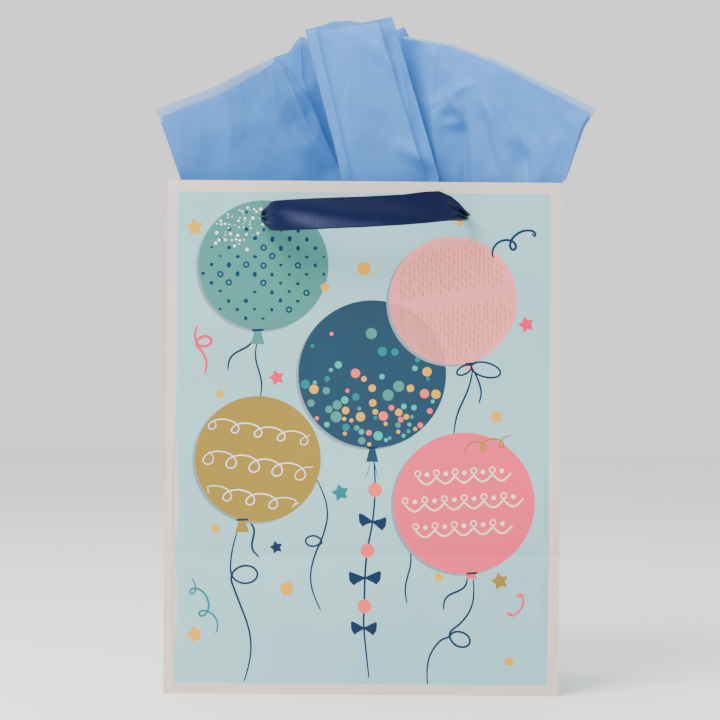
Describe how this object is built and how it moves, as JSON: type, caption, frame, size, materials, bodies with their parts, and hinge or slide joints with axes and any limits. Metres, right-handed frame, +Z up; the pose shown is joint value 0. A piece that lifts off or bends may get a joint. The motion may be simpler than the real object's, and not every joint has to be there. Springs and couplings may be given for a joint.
{
  "type": "gift bag",
  "caption": "Open paper gift bag with balloon print, ribbon handles that swing up, stiffening cards in the hems and base, and folded tissue sheets that lift out of the mouth.",
  "frame": {"origin": "middle of the bag's base, on the surface that it stands on", "axes": "X runs across the front panel, +Y from the front panel to the back panel, +Z up"},
  "size_m": [0.2785, 0.1916, 0.444],
  "materials": {
    "printed_paper": "matte laminated print",
    "card": "plain grey board",
    "ribbon": "satin weave",
    "tissue": "thin translucent tissue"
  },
  "bodies": {
    "bag": {"front_sheet": "printed_paper", "back_sheet": "printed_paper", "front_cuff_card": "card", "back_cuff_card": "card", "base_card": "card", "front_ribbon_ends": "ribbon", "back_ribbon_ends": "ribbon"},
    "front_handle": {"front_ribbon": "ribbon"},
    "back_handle": {"back_ribbon": "ribbon"},
    "left_tissue": {"tissue_left": "tissue"},
    "right_tissue": {"tissue_right": "tissue"},
    "centre_front_tissue": {"tissue_centre_front": "tissue"},
    "back_tissue": {"tissue_back": "tissue"}
  },
  "joints": [
    {"name": "front_handle_swing", "type": "hinge", "parent": "bag", "child": "front_handle", "pos_m": [0, -0.0665, 0.308], "axis": [-1, 0, 0], "range_deg": [0, 60]},
    {"name": "back_handle_swing", "type": "hinge", "parent": "bag", "child": "back_handle", "pos_m": [0, 0.0665, 0.308], "axis": [1, 0, 0], "range_deg": [0, 60]},
    {"name": "left_tissue_lift", "type": "slide", "parent": "bag", "child": "left_tissue", "axis": [0, 0, 1], "range_m": [0, 0.34]},
    {"name": "right_tissue_lift", "type": "slide", "parent": "bag", "child": "right_tissue", "axis": [0, 0, 1], "range_m": [0, 0.34]},
    {"name": "centre_front_tissue_lift", "type": "slide", "parent": "bag", "child": "centre_front_tissue", "axis": [0, 0, 1], "range_m": [0, 0.34]},
    {"name": "back_tissue_lift", "type": "slide", "parent": "bag", "child": "back_tissue", "axis": [0, 0, 1], "range_m": [0, 0.34]}
  ]
}
